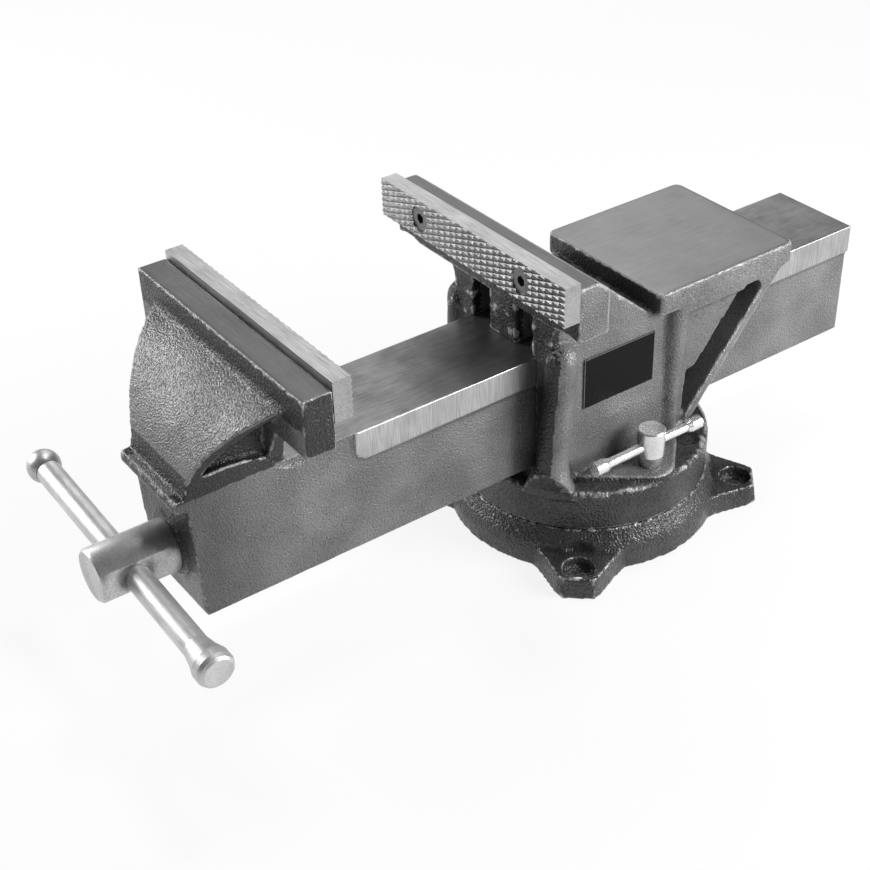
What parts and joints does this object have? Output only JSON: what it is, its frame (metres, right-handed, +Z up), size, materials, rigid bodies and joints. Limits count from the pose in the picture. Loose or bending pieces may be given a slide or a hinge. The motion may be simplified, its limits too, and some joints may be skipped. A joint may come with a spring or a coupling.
{
  "type": "swivel-base bench vise with anvil",
  "caption": "Bench vise on a swivel base with bolt lugs, flat anvil behind the fixed jaw, toothed jaw plates, sliding T-handle and T-bar swivel locks.",
  "frame": {"origin": "centre of the base's underside, on the swivel axis and the centre of the bolt circle", "axes": "+Z up along the swivel axis, +Y from the handle towards the rear of the slide, +X to the right of someone at the handle"},
  "size_m": [0.187, 0.4732, 0.1925],
  "materials": {
    "body_casting": "hammered silver-grey paint on cast iron, machined on the slide, jaw tops and anvil",
    "base_casting": "darker glossy hammered paint on cast iron",
    "jaw_steel": "ground top, diamond-cut gripping face",
    "bright_steel": "turned and lightly polished",
    "plated_steel": "zinc plated",
    "black_steel": "blackened",
    "cast_nut": "as cast, machined faces",
    "label": "satin black printed aluminium, bare"
  },
  "bodies": {
    "base": {"swivel_base": "base_casting"},
    "turret": {"fixed_jaw_body": "body_casting", "fixed_jaw_plate": "jaw_steel", "fixed_plate_screws": "black_steel", "label_plate": "label", "screw_nut": "cast_nut", "nut_bolt": "plated_steel", "nut_bolt_washer": "plated_steel", "pivot_bolt": "plated_steel", "pivot_washer": "plated_steel", "clamp_nut_right": "cast_nut", "clamp_nut_left": "cast_nut"},
    "slide": {"moving_jaw_slide": "body_casting", "moving_jaw_plate": "jaw_steel", "moving_plate_screws": "black_steel"},
    "screw": {"lead_screw": "bright_steel", "spring_washers": "plated_steel", "thrust_spring": "black_steel", "split_pin": "plated_steel"},
    "handle": {"handle_bar": "bright_steel", "handle_ball_end": "bright_steel"},
    "lock_bolt_right_body": {"lock_bolt_right": "bright_steel"},
    "lock_bar_right_body": {"lock_bar_right": "bright_steel", "lock_bar_caps_right": "bright_steel"},
    "lock_bolt_left_body": {"lock_bolt_left": "bright_steel"},
    "lock_bar_left_body": {"lock_bar_left": "bright_steel", "lock_bar_caps_left": "bright_steel"}
  },
  "joints": [
    {"name": "head_swivel", "type": "hinge", "parent": "base", "child": "turret", "pos_m": [0, 0, 0], "axis": [0, 0, 1], "continuous": true},
    {"name": "jaw_slide", "type": "slide", "parent": "turret", "child": "slide", "axis": [0, 1, 0], "range_m": [-0.034, 0.1155]},
    {"name": "screw_spin", "type": "hinge", "parent": "slide", "child": "screw", "pos_m": [0, -0.257, 0.0842], "axis": [0, 1, 0], "range_deg": [-2444, 8308]},
    {"name": "handle_slide", "type": "slide", "parent": "screw", "child": "handle", "axis": [0.9986, 0, -0.0523], "range_m": [-0.05, 0.068]},
    {"name": "lock_right_turn", "type": "hinge", "parent": "turret", "child": "lock_bolt_right_body", "pos_m": [0.056, 0, 0.05], "axis": [0, 0, 1], "range_deg": [-9, 9]},
    {"name": "lock_bar_right_slide", "type": "slide", "parent": "lock_bolt_right_body", "child": "lock_bar_right_body", "axis": [0, -1, 0], "range_m": [-0.022, 0.017]},
    {"name": "lock_left_turn", "type": "hinge", "parent": "turret", "child": "lock_bolt_left_body", "pos_m": [-0.056, 0, 0.05], "axis": [0, 0, 1], "range_deg": [-9, 9]},
    {"name": "lock_bar_left_slide", "type": "slide", "parent": "lock_bolt_left_body", "child": "lock_bar_left_body", "axis": [0, 1, 0], "range_m": [-0.017, 0.022]}
  ],
  "couplings": [
    {"joint": "jaw_slide", "follows": "screw_spin", "m_per_rad": 0.00079577}
  ]
}
